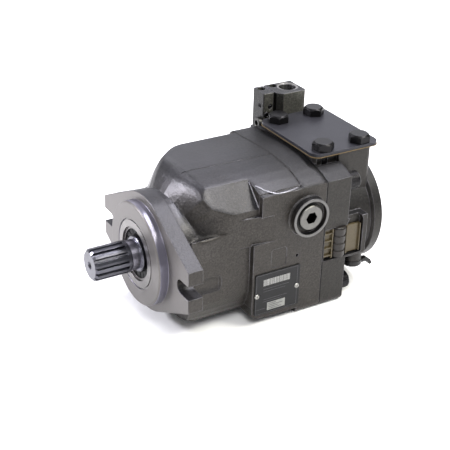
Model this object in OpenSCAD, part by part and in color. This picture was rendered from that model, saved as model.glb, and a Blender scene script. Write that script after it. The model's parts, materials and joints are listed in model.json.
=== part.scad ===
/* [Mounting flange and pilot] */
// Radius of the pilot spigot
pilot_r = 50.8; // [50:0.1:52]
// Height of the pilot spigot in front of the flange face
pilot_h = 9.7; // [8:0.1:10]
// Radius of the round middle of the flange
flange_r = 58.5; // [57:0.5:60]
// Thickness of the flange
flange_t = 15; // [13:0.5:16]
// Distance of each mounting slot from the shaft axis
slot_y = 73; // [72:0.5:74]
// Radius of each mounting slot
slot_r = 7.15; // [6.5:0.05:7.5]
// Distance of the flat ear ends from the shaft axis
ear_y = 87; // [85:0.5:90]
// Half the height of an ear end
ear_h = 21; // [19:0.5:23]

/* [Housing] */
// Distance from the flange face to the joint with the port block
joint_x = 160; // [159:0.5:161]
// Distance of the near side wall from the shaft axis
side_near = 65.4; // [65:0.1:66]
// Distance of the far side wall from the shaft axis
side_far = 72; // [71:0.5:73]
// Height of the crown of the housing above the shaft axis
crown_z = 77; // [76:0.5:78]
// Depth of the flat base under the shaft axis
base_z = 73; // [72:0.5:74]
// Radius of the chamber that holds the rotating group
chamber_r = 55; // [54.5:0.5:56]

/* [Port block] */
// Thickness of the port block's bolting flange
block_flange_t = 27.5; // [26:0.5:29]
// Distance from the flange face to the rear end of the port block
rear_x = 237; // [236:0.5:239]
// Radius of the round rear end
rear_r = 59.4; // [58.5:0.1:60]
// Height of the inlet pad's top face
pad_z = 80; // [79.5:0.5:80.5]
// Distance from the flange face to the middle of the inlet port
inlet_x = 195.4; // [194:0.2:197]
// Sideways offset of the inlet port from the shaft axis
inlet_y = 4; // [3:0.5:5]
// Bolt spacing of the inlet port along the shaft
inlet_dx = 42.9; // [42.5:0.1:43.5]
// Bolt spacing of the inlet port across the shaft
inlet_dy = 77.8; // [77:0.1:78.5]

/* [Drive shaft] */
// Outside radius of the splined shaft end
spline_r = 15.6; // [15.4:0.1:15.8]
// Distance the shaft stands out in front of the flange face
shaft_out = 55.6; // [54:0.2:57]
// Number of spline teeth
spline_teeth = 14; // [12:1:16]

/* [Rotating group] */
// Number of pistons
pistons_n = 9; // [7:2:9]
// Radius of a piston
piston_r = 9.5; // [9:0.1:9.6]
// Radius of the circle on which the pistons stand
pitch_r = 38; // [37.8:0.1:38.2]
// Outside radius of the cylinder barrel
barrel_r = 51; // [50.5:0.5:52]
// Distance from the flange face to the swash pivot
swash_x = 63; // [62.5:0.5:63]

/* [Control valve] */
// Height of the slim front part of the valve body
valve_z = 105; // [104:0.5:107]
// Height of the stout part of the valve body with the top port
valve_port_z = 104; // [102:0.5:105]
// Wall radius of the top port
valve_port_r = 9; // [8:0.25:9.5]

/* [Hidden] */
$fn = 96;
eps = 0.01;
run = 0.05;           // radial clearance of a running fit
gasket_t = 0.6;
cover_t = 3;          // inlet cover plate
cradle_r = 34;        // swash cradle surface
cradle_shell = 2;
slipper_t = 4;
retainer_t = 3;
shaft_r = 14;         // shaft inside the barrel
journal_r = 17.5;     // front bearing seat
seal_bore_r = 26.5;
carrier_r = 34.5;
boss_x = 139;         // side boss with the case plug
boss_z = 35;
boss_y = 73;
casting = "#5d5a5c";
machined = "#a5a29c";
steel = "#8d8f93";
dark_steel = "#3c3e44";
black = "#1d1e22";
bronze = "#b08a4a";
rubber = "#202020";
zinc = "#c9cbc6";

// ---- helpers -------------------------------------------------------------

// An outline drawn in (y, z), extruded along the shaft from x0 to x1
module along_x(x0, x1) translate([x0, 0, 0]) rotate([90, 0, 90]) linear_extrude(x1 - x0) children();
// A round bar along the shaft
module bar_x(x0, x1, r, y = 0, z = 0) translate([x0, y, z]) rotate([0, 90, 0]) cylinder(h = x1 - x0, r = r);
// A round bar across the shaft, from y0 to y1
module bar_y(y0, y1, r, x, z) translate([x, y1, z]) rotate([90, 0, 0]) cylinder(h = y1 - y0, r = r);
// A tube along the shaft
module tube_x(x0, x1, r_out, r_in, y = 0, z = 0) translate([x0, y, z]) rotate([0, 90, 0])
    linear_extrude(x1 - x0) difference() { circle(r_out); circle(r_in); }
// Points of an arc, centre (cy, cz)
function arc(cy, cz, r, a0, a1, n) =
    [for (i = [0:n]) let (a = a0 + (a1 - a0) * i / n) [cy + r * cos(a), cz + r * sin(a)]];
// Points of a shallow crown between two shoulders
function crown(y0, z0, y1, z1, top, n) =
    [for (i = [0:n]) let (t = i / n, z = z0 + (z1 - z0) * t)
        [y0 + (y1 - y0) * t, z + (top - z) * 4 * t * (1 - t)]];
// A socket-head screw with its axis along +Z, its bearing face at z = 0, its head above
module socket_screw(r, len, head_r, head_h, key_r) difference() {
    union() {
        translate([0, 0, -len]) cylinder(h = len + eps, r = r, $fn = 48);
        cylinder(h = head_h - 1, r = head_r, $fn = 48);
        translate([0, 0, head_h - 1]) cylinder(h = 1, r1 = head_r, r2 = head_r - 0.8, $fn = 48);
    }
    translate([0, 0, head_h * 0.45]) cylinder(h = head_h, r = key_r, $fn = 6);
}
// A hexagon bolt, set like socket_screw
module hex_bolt(r, len, across_flats, head_h) {
    translate([0, 0, -len]) cylinder(h = len + eps, r = r, $fn = 48);
    intersection() {
        cylinder(h = head_h, r = across_flats / sqrt(3), $fn = 6);
        translate([0, 0, -across_flats / 2 + head_h]) rotate_extrude($fn = 48)
            polygon([[0, 0], [across_flats, 0], [across_flats * 0.5, across_flats / 2 - 1.0],
                [across_flats * 0.44, across_flats / 2], [0, across_flats / 2]]);
    }
}
// A ring of round section about the shaft axis
module o_ring_x(x, r, wire) translate([x, 0, 0]) rotate([0, 90, 0]) rotate_extrude()
    translate([r, 0]) circle(wire, $fn = 24);

// A coil spring of round wire along +X, closed by plain ends
function coil_point(t, x0, x1, r, turns) =
    [x0 + (x1 - x0) * t, r * cos(360 * turns * t), r * sin(360 * turns * t)];
module coil(x0, x1, r, wire, turns, per_turn = 20, sides = 8) {
    n = ceil(turns * per_turn);
    pts = [for (i = [0:n], j = [0:sides - 1])
        let (t = i / n, a = 360 * j / sides, c = coil_point(t, x0, x1, r, turns), u = 360 * turns * t)
        [c[0] + wire * sin(a), c[1] + wire * cos(a) * cos(u), c[2] + wire * cos(a) * sin(u)]];
    walls = [for (i = [0:n - 1], j = [0:sides - 1]) let (k = (j + 1) % sides)
        [i * sides + j, i * sides + k, (i + 1) * sides + k, (i + 1) * sides + j]];
    first_cap = [for (j = [sides - 1:-1:0]) j];
    last_cap = [for (j = [0:sides - 1]) n * sides + j];
    polyhedron(pts, concat([first_cap], walls, [last_cap]), 8);
}
// A profile in (r, x) turned about the shaft axis
module turned() rotate([0, 90, 0]) rotate_extrude() children();
// Copies round the shaft axis
module ring_of(n) for (i = [0:n - 1]) rotate([360 * i / n, 0, 0]) children();
// The span from a to b across the shaft, on the far side or mirrored to the near side
function span_y(side, a, b) = side > 0 ? [a, b] : [-b, -a];
// A box from one corner to the other
module box(a, b) translate(a) cube(b - a);
// A rounded rectangle from (x0, y0) to (x1, y1)
module round_rect(x0, y0, x1, y1, r) {
    translate([x0 + r, y0]) square([x1 - x0 - 2 * r, y1 - y0]);
    translate([x0, y0 + r]) square([x1 - x0, y1 - y0 - 2 * r]);
    for (x = [x0 + r, x1 - r], y = [y0 + r, y1 - r]) translate([x, y]) circle(r, $fn = 48);
}

// ---- outlines across the shaft, in (y, z) ----------------------------------

block_x0 = joint_x + gasket_t;
block_x1 = block_x0 + block_flange_t;
rear_corner = 7;
edge_z = 64.3;        // near upper edge
far_edge_z = 73.5;    // far upper shoulder
far_corner = 12;

// Rear body and bolting flange
function rear_outline(base, corner) = concat(
    arc(corner - side_near, corner - base, corner, 180, 270, 6),
    arc(side_far - corner, corner - base, corner, 270, 360, 6),
    arc(side_far - far_corner, far_edge_z - far_corner, far_corner, 0, 80, 5),
    crown(side_far - far_corner - 1, far_edge_z, -side_near, edge_z, crown_z, 12));

module flange_outline() {
    reach = sqrt(ear_y * ear_y + ear_h * ear_h);
    touch = atan2(ear_h, ear_y) + acos(flange_r / reach);
    ty = flange_r * cos(touch);
    tz = flange_r * sin(touch);
    difference() {
        union() {
            circle(flange_r);
            polygon([[ty, tz], [ear_y, ear_h], [ear_y, -ear_h], [ty, -tz],
                [-ty, -tz], [-ear_y, -ear_h], [-ear_y, ear_h], [-ty, tz]]);
        }
        for (s = [-1, 1]) {
            translate([s * slot_y, 0]) circle(slot_r);
            translate([s > 0 ? slot_y : -ear_y - 5, -slot_r]) square([ear_y + 5 - slot_y, 2 * slot_r]);
        }
    }
}

// ---- housing ---------------------------------------------------------------

neck_r = 57;
neck_x0 = flange_t - 1;
front_near = 60;
front_far = side_far - 5;
front_base = base_z - 2;
low_corner = 43;
ledge_z = 33.5;         // top of the lower wall beside the neck
wall_x = [66, 104];   // above the nameplate pad the near wall runs out between these
pad_x0 = 81;          // left edge of the nameplate pad
pad_top = 16.5;
pad_wall = side_near - 0.05;
bevel = [[-40, 71.4], [-65, 46]];
bevel_x = 88;         // the near bevel ends here
step_x = 133;         // start of the rear bolting flange
body_end_x = step_x + 3;
lever_z = 62;         // bias piston height
control_z = 63;       // control piston depth
saddle_y = [25, 41];
loft_steps = 9;

// Front body across the shaft, point by point round the shaft axis
front_outline = concat(
    arc(low_corner - front_near, low_corner - front_base, low_corner, 180, 270, 8),
    arc(front_far - low_corner, low_corner - front_base, low_corner, 270, 360, 8),
    [[front_far, ledge_z - 0.4], [front_far, ledge_z]],
    arc(front_far - far_corner, far_edge_z - far_corner, far_corner, 0, 80, 6),
    crown(front_far - far_corner - 1, far_edge_z - 0.1, -front_near, 65.6, crown_z - 0.6, 10),
    [for (z = [61:-4:37]) [-front_near, z]], [[-front_near, ledge_z], [-front_near, ledge_z - 0.4]]);
// Angle of an outline point, 0 at the far side, 90 on top, 180 at the near side
function turn(p) = atan2(p[1], p[0]);
function is_upper(p) = p[1] > ledge_z - 0.2;
// Along the shaft, where the round neck ends (foot) and where the full section begins
upper_foot = [[20, 24], [60, 20], [95, 20], [125, 25], [145, 30]];
upper_full = [[20, 60], [50, 72], [60, 48], [67, 42], [110, 42], [126, 46], [136, 68], [150, 61]];
function foot_x(p) = is_upper(p) ? lookup(turn(p), upper_foot) : flange_t + 0.4;
function full_x(p) = is_upper(p) ? lookup(turn(p), upper_full)
    : p[0] > 45 ? 45
    : p[0] < 8 - front_near ? flange_t + 3
    : 30;
// A point of the front body: the neck swells into the full section along a rounded slope
function body_point(p, k) =
    let (r = norm(p), f = foot_x(p), t = (k - 1) / (loft_steps - 1),
        swell = neck_r + (r - neck_r) * sin(90 * t))
    k == 0 ? [neck_x0, neck_r * p[0] / r, neck_r * p[1] / r]
    : k > loft_steps ? [body_end_x, p[0], p[1]]
    : [f + (full_x(p) - f) * t, swell * p[0] / r, swell * p[1] / r];
module front_body() {
    n = len(front_outline);
    rings = loft_steps + 2;
    centres = [[neck_x0, 0, 0], [body_end_x, 0, 0]];
    pts = concat([for (k = [0:rings - 1], p = front_outline) body_point(p, k)], centres);
    walls = [for (k = [0:rings - 2], i = [0:n - 1], half = [0, 1])
        let (j = (i + 1) % n, a = k * n + i, b = k * n + j, c = a + n, d = b + n)
        half == 0 ? [a, c, b] : [b, c, d]];
    caps = [for (i = [0:n - 1], half = [0, 1]) let (j = (i + 1) % n)
        half == 0 ? [rings * n, i, j] : [rings * n + 1, (rings - 1) * n + j, (rings - 1) * n + i]];
    polyhedron(pts, concat(walls, caps));
}
module housing_shell() {
    along_x(0, flange_t) flange_outline();
    difference() {
        front_body();
        // bevel on the near upper side
        along_x(neck_x0 + 8, bevel_x) polygon([bevel[0] + [24, 30], bevel[0], bevel[1],
            bevel[1] - [20, 0], bevel[1] + [-20, 60]]);
    }
    // wall carrying the nameplate
    translate([0, 0, -52]) linear_extrude(52 + pad_top)
        polygon([[pad_x0 - 1, -50], [pad_x0 - 1, -front_near + 0.3], [pad_x0, -pad_wall],
            [body_end_x - 1, -pad_wall], [body_end_x - 1, -50]]);
    translate([0, 0, pad_top - 2]) linear_extrude(bevel[1][1] - pad_top)
        polygon([[wall_x[0], -50], [wall_x[0], -front_near + 0.3], [wall_x[1], -pad_wall + 0.05],
            [body_end_x - 1.2, -pad_wall + 0.05], [body_end_x - 1.2, -50]]);
    box([bevel_x + 0.5, -pad_wall + 0.1, bevel[1][1] - 2.5], [body_end_x - 0.8, -50, edge_z]);
    translate([0, -30, 0]) rotate([90, 0, 0]) linear_extrude(pad_wall - 0.03 - 30)
        polygon([[pad_x0 + 0.2, -50], [pad_x0 + 0.2, -61], [86, -64.8], [110, -66],
            [body_end_x - 0.5, -66], [body_end_x - 0.5, -50]]);
    along_x(step_x, joint_x) polygon(rear_outline(base_z, rear_corner));
    // side boss
    bar_y(-boss_y, -40, 19.7, boss_x, boss_z);
    translate([boss_x, -side_near + 1, boss_z]) rotate([90, 0, 0]) cylinder(h = 3, r1 = 21.4, r2 = 19.2);
}
module housing_chamber() {
    difference() {
        bar_x(26, 54, 50.5);
        for (y = [span_y(1, saddle_y[0], saddle_y[1]), span_y(-1, saddle_y[0], saddle_y[1])])
            difference() {
                box([20, y[0], -27], [46, y[1], 27]);
                bar_y(-60, 60, cradle_r + run + cradle_shell, swash_x, 0);
            }
    }
    bar_x(53.9, joint_x + 1, chamber_r);
    // room for the swash levers
    box([30, -13, 20], [42, 13, 64.5]);
    box([40, -13, 20], [joint_x + 1, 13, 72]);
    box([50, -6.5, -68.2], [142, 6.5, -20]);
    bar_x(140, joint_x + 1, 7 + run, 0, -control_z);
}
module housing() color(casting) difference() {
    union() {
        housing_shell();
        turned() polygon([[0, 0.5], [0, -pilot_h], [pilot_r - 1.2, -pilot_h],
            [pilot_r, 1.2 - pilot_h], [pilot_r, 0.5]]);
    }
    housing_chamber();
    bar_x(-pilot_h - 1, 3, carrier_r);
    bar_x(2, 27, 33);
    // clearance for the mounting bolt heads behind the ears
    for (s = [-1, 1]) {
        bar_x(flange_t, 48, 16.3, s * (slot_y + 1), -16);
        translate([48, s * (slot_y + 1), -16]) rotate([0, 90, 0]) cylinder(h = 8, r1 = 16.3, r2 = 8);
    }
    // case port in the side boss
    bar_y(-boss_y - 1, -boss_y + 5, 17, boss_x, boss_z);
    bar_y(-boss_y - 1, -35, 10.5, boss_x, boss_z);
    // gauge hole and blank badge recess beside the nameplate
    bar_y(-side_near - 1, -side_near + 5, 1.6, 130.1, -6.1);
    translate([0, -pad_wall + 0.6, 0]) rotate([90, 0, 0]) linear_extrude(2) round_rect(101, -13, 118, 7, 3);
    for (x = rivet_x) bar_y(-side_near - 1, -side_near + 6, 1.5, x, rivet_z);
    // threads for the block screws
    for (p = block_screw_at) bar_x(joint_x - 24, joint_x + 1, 6, p[0], p[1]);
}
module body_gasket() color(black) along_x(joint_x, block_x0) difference() {
    // set back a little from the castings' outline
    polygon([for (p = rear_outline(base_z, rear_corner)) p * 0.991]);
    circle(chamber_r);
    translate([-13, 20]) square([26, 52]);
    // the control cylinder's opening runs into the chamber's
    translate([0, -control_z]) circle(7.6);
    translate([-5, -60]) square([10, 12]);
    for (p = block_screw_at) translate(p) circle(7.2);
}

// ---- port block ------------------------------------------------------------

pad_near = 43;
pad_far = 51;
rear_body_r = 56;
rear_flange_x = 224;
outlet_x = 187;
outlet_z = -2.5;
drain_at = [206, -54];
drain_z = -34.8;
valve_pad_z = 62;
block_screw_at = [[-50, -59.5], [57, -58], [-54, 54], [61, 30]];
inlet_bolt_at = [for (x = [-0.5, 0.5], y = [-0.5, 0.5]) [inlet_x + x * inlet_dx, inlet_y + y * inlet_dy]];
kidney_r = [31, 45];

module sector(r0, r1, a0, a1) difference() {
    intersection() {
        circle(r1);
        polygon(concat([[0, 0]], arc(0, 0, r1 * 1.5, a0, a1, 8)));
    }
    circle(r0);
}
module port_block() color(casting) difference() {
    union() {
        along_x(block_x0, block_x1) polygon(rear_outline(base_z, rear_corner));
        bar_x(block_x0, rear_flange_x + 1, rear_body_r);
        turned() polygon([[0, rear_flange_x], [rear_r - 3, rear_flange_x], [rear_r, rear_flange_x + 2.5],
            [rear_r, rear_x - 1.5], [rear_r - 1.5, rear_x], [0, rear_x]]);
        // inlet pad
        linear_extrude(pad_z) round_rect(block_x0, -pad_near, 228, pad_far, 6);
        // outlet pad
        box([block_x0, -side_near, outlet_z - 21.5], [212, -20, outlet_z + 21.5]);
        translate([drain_at[0], drain_at[1], drain_z]) cylinder(h = 20, r = 9.2);
        // shelf under the control valve
        box([170, pad_far - 10, 40], [222, 60, valve_pad_z]);
        translate([0, 0, shelf_z]) linear_extrude(valve_pad_z - shelf_z)
            round_rect(169.4, 40, 222, stout_y[1] + 1, 4);
    }
    // notch behind the far shoulder, clear of the control valve
    box([165, 58, valve_pad_z], [block_x1 + 1, 95, 100]);
    // shaft bearing seat, coupling space and rear cover seat
    bar_x(block_x0 - 1, 186, 21);
    bar_x(185, 230, 17);
    bar_x(229, rear_x + 1, 48);
    // inlet and outlet passages
    translate([inlet_x, inlet_y, 34]) cylinder(h = pad_z, r = 25.4);
    along_x(block_x0 - 1, 185) sector(kidney_r[0], kidney_r[1], 30, 150);
    along_x(block_x0 - 1, 194) sector(kidney_r[0], kidney_r[1], 205, 335);
    bar_y(-side_near - 1, -22, 13, outlet_x, outlet_z);
    // recess round the outlet
    box([block_x0 + 1, -side_near - 1, outlet_z - 19.5], [207, -side_near + 6, outlet_z + 15]);
    translate([197.5, -side_near + 6, outlet_z + 15]) rotate([90, 0, 0]) cylinder(h = 7, r = 9.5);
    // finger recess under the edge of the inlet cover
    box([block_x0 + 2.5, -pad_near - 1, 69.5], [188, -pad_near + 4, pad_z + 1]);
    // drain, control cylinder, threads
    translate([drain_at[0], drain_at[1], drain_z - 1]) cylinder(h = 14, r = 5);
    bar_x(block_x0 - 1, 178, 7 + run, 0, -control_z);
    for (p = inlet_bolt_at) translate([p[0], p[1], pad_z - 22]) cylinder(h = 30, r = 5.1);
    for (p = block_screw_at) bar_x(block_x0 - 1, block_x1 + 1, 7.2, p[0], p[1]);
    for (p = cover_screw_at) bar_x(214, 230, 4.2, p[0], p[1]);
    for (p = valve_screw_at) translate([p[0], p[1], valve_pad_z - 14]) cylinder(h = 20, r = 2.5);
    translate([low_screw_at[0], low_screw_at[1], shelf_z - 1]) cylinder(h = 20, r = 2.8);
    bar_x(block_x0 - 1, block_x0 + 4, 2, 0, -47.5);
}
module block_screws() color(black) for (p = block_screw_at) translate([block_x1, p[0], p[1]])
    rotate([0, 90, 0]) socket_screw(6, block_x1 - joint_x + 20, 9, 14, 5.8);

cover_screw_at = [for (a = [45:90:315]) [40 * cos(a), 40 * sin(a)]];
module rear_cover() color(casting) difference() {
    union() {
        bar_x(229, rear_x - 2, 48);
        turned() polygon([[0, rear_x - 3], [30, rear_x - 3], [30, rear_x + 0.5],
            [28.5, rear_x + 2], [0, rear_x + 2]]);
    }
    for (p = cover_screw_at) {
        bar_x(228, rear_x + 3, 4.2, p[0], p[1]);
        bar_x(231.5, rear_x + 3, 7.2, p[0], p[1]);
    }
    turned() translate([44.5, 228.9]) square([2.2, 1.6]);
    turned() polygon([[0, rear_x + 1], [18, rear_x + 1], [18, rear_x + 3], [0, rear_x + 3]]);
}
module rear_cover_o_ring() color(rubber) o_ring_x(229.75, 45.6, 0.75);
module rear_cover_screws() color(black) for (p = cover_screw_at) translate([231.5, p[0], p[1]])
    rotate([0, 90, 0]) socket_screw(4, 16, 6.5, 8, 4.6);

// ---- shaft, seal and bearings ----------------------------------------------

spline_end = -19;
module spline_tooth_gap() {
    pitch = 360 / spline_teeth;
    // radius and half angle of the gap at its root and at its mouth
    root = [spline_r - 2.6, 0.16 * pitch];
    mouth = [spline_r + 1, 0.30 * pitch];
    polygon([for (s = [-1, 1], q = s < 0 ? [root, mouth] : [mouth, root])
        [q[0] * cos(s * q[1]), q[0] * sin(s * q[1])]]);
}
module drive_shaft() color(dark_steel) difference() {
    turned() polygon([[0, -shaft_out], [spline_r - 2.2, -shaft_out], [spline_r, 2.2 - shaft_out],
        [spline_r, spline_end], [14.6, spline_end + 1], [14.6, -9.5], [16.7, -9.5], [journal_r, -8.7],
        [journal_r, 24], [20.5, 24], [20.5, 29], [15, 30], [15, 90], [shaft_r, 91], [shaft_r, 188],
        [shaft_r - 1, 189], [0, 189]]);
    ring_of(spline_teeth) rotate([180 / spline_teeth, 0, 0])
        along_x(-shaft_out - 1, spline_end - 3) spline_tooth_gap();
    turned() polygon([[0, -shaft_out - 1], [4.5, -shaft_out - 1], [3, 1.5 - shaft_out],
        [3, 12 - shaft_out], [0, 14 - shaft_out]]);
    bar_x(165, 190, 8);
}
module seal_carrier() color(machined) difference() {
    turned() polygon([[seal_bore_r, -pilot_h], [carrier_r - 1.4, -pilot_h],
        [carrier_r - 1.4, 1.2 - pilot_h], [carrier_r, 1.2 - pilot_h], [carrier_r, 3],
        [22, 3], [22, 0], [seal_bore_r, 0]]);
    turned() translate([seal_bore_r - 0.5, -8]) square([2.1, 1.2]);
    turned() translate([carrier_r - 1.5, -4.5]) square([2, 2.2]);
}
module seal_carrier_o_ring() color(rubber) o_ring_x(-3.4, carrier_r - 0.76, 0.74);
module seal_snap_ring() color(dark_steel) turned() translate([24.2, -7.95]) square([3.8, 1.1]);
module shaft_seal() color(rubber) {
    difference() {
        turned() polygon([[journal_r + run, -4.6], [journal_r + 2, -5.6], [seal_bore_r - 0.02, -6.8],
            [seal_bore_r - 0.02, -0.02], [22, -0.02], [22, -1.5], [journal_r + 1.2, -1.5],
            [journal_r + 0.6, -3.4], [journal_r + run, -4.0]]);
        ring_of(18) box([-8, journal_r + 2.2, -0.7], [-5.2, seal_bore_r - 1.5, 0.7]);
    }
}
front_race_x = [5, 24];
front_pitch_r = 25.45;
front_roller_r = 3.5;
front_rollers = 15;
module front_bearing_outer_race() color(steel) tube_x(front_race_x[0], front_race_x[1], 33, 29);
module front_bearing_inner_race() color(steel)
    tube_x(front_race_x[0], front_race_x[1], 21.9, journal_r + eps);
module front_bearing_rollers() color(steel) ring_of(front_rollers)
    bar_x(8, 21, front_roller_r, front_pitch_r, 0, $fn = 48);
module front_bearing_cage() color(bronze) difference() {
    tube_x(6, 23, 26.6, 24.3);
    ring_of(front_rollers) bar_x(7.95, 21.05, front_roller_r + run, front_pitch_r, 0, $fn = 48);
}
rear_pitch_r = 16.1;
rear_roller_r = 2;
rear_rollers = 18;
module rear_bearing_outer_race() color(steel) tube_x(164, 184, 21, 18.2);
module rear_bearing_rollers() color(steel) ring_of(rear_rollers)
    bar_x(166.5, 181.5, rear_roller_r, rear_pitch_r, 0, $fn = 36);
module rear_bearing_cage() color(bronze) difference() {
    tube_x(165, 183, 16.9, 15.3);
    ring_of(rear_rollers) bar_x(166.45, 181.55, rear_roller_r + run, rear_pitch_r, 0, $fn = 36);
}

// ---- swashplate ------------------------------------------------------------

swash_t = 11;
swash_r = 48;
module swashplate() color(steel) difference() {
    union() {
        bar_x(swash_x - swash_t, swash_x, swash_r);
        for (y = [span_y(1, saddle_y[0], saddle_y[1]), span_y(-1, saddle_y[0], saddle_y[1])])
            intersection() {
                bar_y(y[0] + 1, y[1] - 1, cradle_r, swash_x, 0);
                box([0, -50, -21], [swash_x - 4, 50, 21]);
            }
        box([swash_x - swash_t, -6, 30], [swash_x - 3, 6, 67]);
        box([swash_x - swash_t, -5.5, -67], [swash_x - 3, 5.5, -30]);
    }
    bar_x(swash_x - 40, swash_x + 1, 22);
    box([swash_x - 3, -10, swash_r - 2], [swash_x + 1, 10, 80]);
    box([swash_x - 3, -10, -80], [swash_x + 1, 10, 2 - swash_r]);
}
module cradle_bearings() color(bronze)
    for (y = [span_y(1, saddle_y[0], saddle_y[1]), span_y(-1, saddle_y[0], saddle_y[1])]) intersection() {
        difference() {
            bar_y(y[0], y[1], cradle_r + run + cradle_shell, swash_x, 0);
            bar_y(-60, 60, cradle_r + run, swash_x, 0);
        }
        box([0, -50, -26.9], [swash_x - 17, 50, 26.9]);
    }

// ---- rotating group --------------------------------------------------------

barrel_x = [93, 154];
ball_x = 72.6;
ball_r = 6.4;
bore_r = piston_r + run;
gap_x = 0.1;          // oil film between the slippers and the swashplate

module barrel() color(steel) difference() {
    turned() polygon([[0, barrel_x[0]], [barrel_r - 1, barrel_x[0]], [barrel_r, barrel_x[0] + 1],
        [barrel_r, barrel_x[1] - 1], [barrel_r - 1, barrel_x[1]], [0, barrel_x[1]]]);
    ring_of(pistons_n) {
        bar_x(barrel_x[0] - 1, 150, bore_r, pitch_r, 0);
        bar_x(149, barrel_x[1] + 1, 4.5, pitch_r, 0);
    }
    bar_x(barrel_x[0] - 1, 136, 25.5);
    bar_x(100, barrel_x[1] + 1, shaft_r + run);
    turned() translate([25, 109.4]) square([1.6, 1.4]);
}
module pistons() color(steel) ring_of(pistons_n) translate([0, pitch_r, 0]) difference() {
    turned() union() {
        polygon([[0, ball_x - 4], [3.4, ball_x - 4], [4.6, ball_x + 4], [4.6, 82], [piston_r - 1, 85],
            [piston_r, 86], [piston_r, 131], [piston_r - 0.8, 132], [0, 132]]);
        intersection() {
            translate([0, ball_x]) circle(ball_r, $fn = 64);
            translate([0, ball_x - 10]) square([20, 20]);
        }
    }
    bar_x(92, 133, 6);
}
module slippers() color(bronze) ring_of(pistons_n) translate([0, pitch_r, 0]) turned() difference() {
    polygon([[1.2, swash_x + gap_x], [9.9, swash_x + gap_x], [9.9, swash_x + gap_x + slipper_t],
        [7.9, swash_x + gap_x + slipper_t + 0.6], [7.9, 75.5], [0, 75.5], [0, 68], [1.2, 68]]);
    translate([0, ball_x]) circle(ball_r + 0.03, $fn = 64);
    translate([0, ball_x]) square([5.7, 10]);
}
module slipper_retainer() color(steel) difference() {
    turned() polygon([[20.5, 68], [49.5, 68], [49.5, 68 + retainer_t], [19.2, 68 + retainer_t]]);
    ring_of(pistons_n) bar_x(60, 80, 8.3, pitch_r, 0);
}
module ball_guide() color(steel) turned() {
    intersection() {
        translate([0, 65]) circle(20);
        translate([15.05, 66]) square([20, 20]);
    }
    translate([15.05, 70]) square([3.65, 39.4]);
}
module hold_down_spring() color(dark_steel) coil(113.9, 133, 21.8, 1.5, 4);
module spring_washers() color(steel) {
    tube_x(110.9, 112.3, 25.4, 18.9);
    tube_x(134.6, 136, 25.4, 18.9);
}
module barrel_snap_ring() color(dark_steel) tube_x(109.5, 110.7, 26.5, 22.5);
module valve_plate() color(bronze) difference() {
    tube_x(barrel_x[1] + gap_x, block_x0, 50.5, 21);
    along_x(150, 170) sector(kidney_r[0] + 2.5, kidney_r[1] - 2.5, 32, 148);
    along_x(150, 170) sector(kidney_r[0] + 2.5, kidney_r[1] - 2.5, 212, 328);
    bar_x(157, 170, 2, 0, -47.5);
}
module valve_plate_pin() color(steel) bar_x(157.1, block_x0 + 3.9, 1.98, 0, -47.5);

// ---- swash control -----------------------------------------------------------

module push_rod(x_tip, x_end, r, z) translate([0, 0, z]) turned() union() {
    polygon([[0, x_tip + r], [r, x_tip + r], [r, x_end], [0, x_end]]);
    intersection() {
        translate([0, x_tip + r]) circle(r, $fn = 48);
        translate([0, x_tip]) square([r + 1, r + 1]);
    }
}
module control_piston() color(steel) difference() {
    union() {
        push_rod(swash_x - 3 + gap_x, 147, 4.5, -control_z);
        bar_x(146, 156, 7, 0, -control_z);
    }
    translate([0, 0, -control_z]) turned() translate([6.2, 150]) square([2, 1.6]);
}
module bias_piston() color(steel) {
    push_rod(swash_x - 3 + gap_x, 119, 5, lever_z);
    bar_x(118, 124, 8.6, 0, lever_z);
}
module bias_spring() color(dark_steel) translate([0, 0, lever_z]) coil(126, 158.4, 7.2, 1.5, 6, 16);

// ---- inlet cover -------------------------------------------------------------

cover_z = pad_z + 0.8;
module cover_outline(grow) difference() {
    round_rect(157.5 - grow, -45.5 - grow, 235 + grow, 54 + grow, 9);
    for (p = inlet_bolt_at) translate(p) circle(6.6, $fn = 48);
}
module inlet_gasket() color("#a9905c") translate([0, 0, pad_z]) linear_extrude(0.8) cover_outline(0.4);
module inlet_cover_plate() color("#6c6c78") translate([0, 0, cover_z]) linear_extrude(cover_t)
    cover_outline(0);
// How far each bolt head is turned
bolt_turn = [37.5, 2.5, 2.5, 37.5];
module inlet_cover_bolts() color(black) for (i = [0:3])
    translate(concat(inlet_bolt_at[i], [cover_z + cover_t])) rotate([0, 0, bolt_turn[i]])
        hex_bolt(5.1, 24, 19, 8);

// ---- plugs, covers and nameplate ---------------------------------------------

// A port plug with a hexagon socket, its axis along -Y, its seat at y
module socket_plug_y(x, y, z, head_r, head_h, shank_r, shank_l, key_r) translate([x, y, z])
    rotate([90, 0, 0]) difference() {
        union() {
            translate([0, 0, -shank_l]) cylinder(h = shank_l + eps, r = shank_r);
            cylinder(h = head_h - 0.8, r = head_r);
            translate([0, 0, head_h - 0.8]) cylinder(h = 0.8, r1 = head_r, r2 = head_r - 0.8);
        }
        translate([0, 0, -4]) cylinder(h = 20, r = key_r, $fn = 6);
    }
module case_plug() color(zinc) socket_plug_y(boss_x, 4.0 - boss_y, boss_z, 12.5, 3.6, 10.5, 13, 6.3);
module case_plug_seal() color(rubber) bar_ring_y(4.0 - boss_y, 5.0 - boss_y, 14, 10.5, boss_x, boss_z);
module bar_ring_y(y0, y1, r_out, r_in, x, z) difference() {
    bar_y(y0, y1, r_out, x, z);
    bar_y(y0 - 1, y1 + 1, r_in, x, z);
}
plate_x = [83.7, 134.2];
plate_z = [-61, -16];
rivet_x = [85.8, 131];
rivet_z = -39.4;
module nameplate() color(black) difference() {
    translate([0, -side_near, 0]) rotate([90, 0, 0]) linear_extrude(1)
        round_rect(plate_x[0], plate_z[0], plate_x[1], plate_z[1], 1.5);
    for (x = rivet_x) bar_y(-side_near - 2, -side_near + 1, 1.5, x, rivet_z);
}
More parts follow.
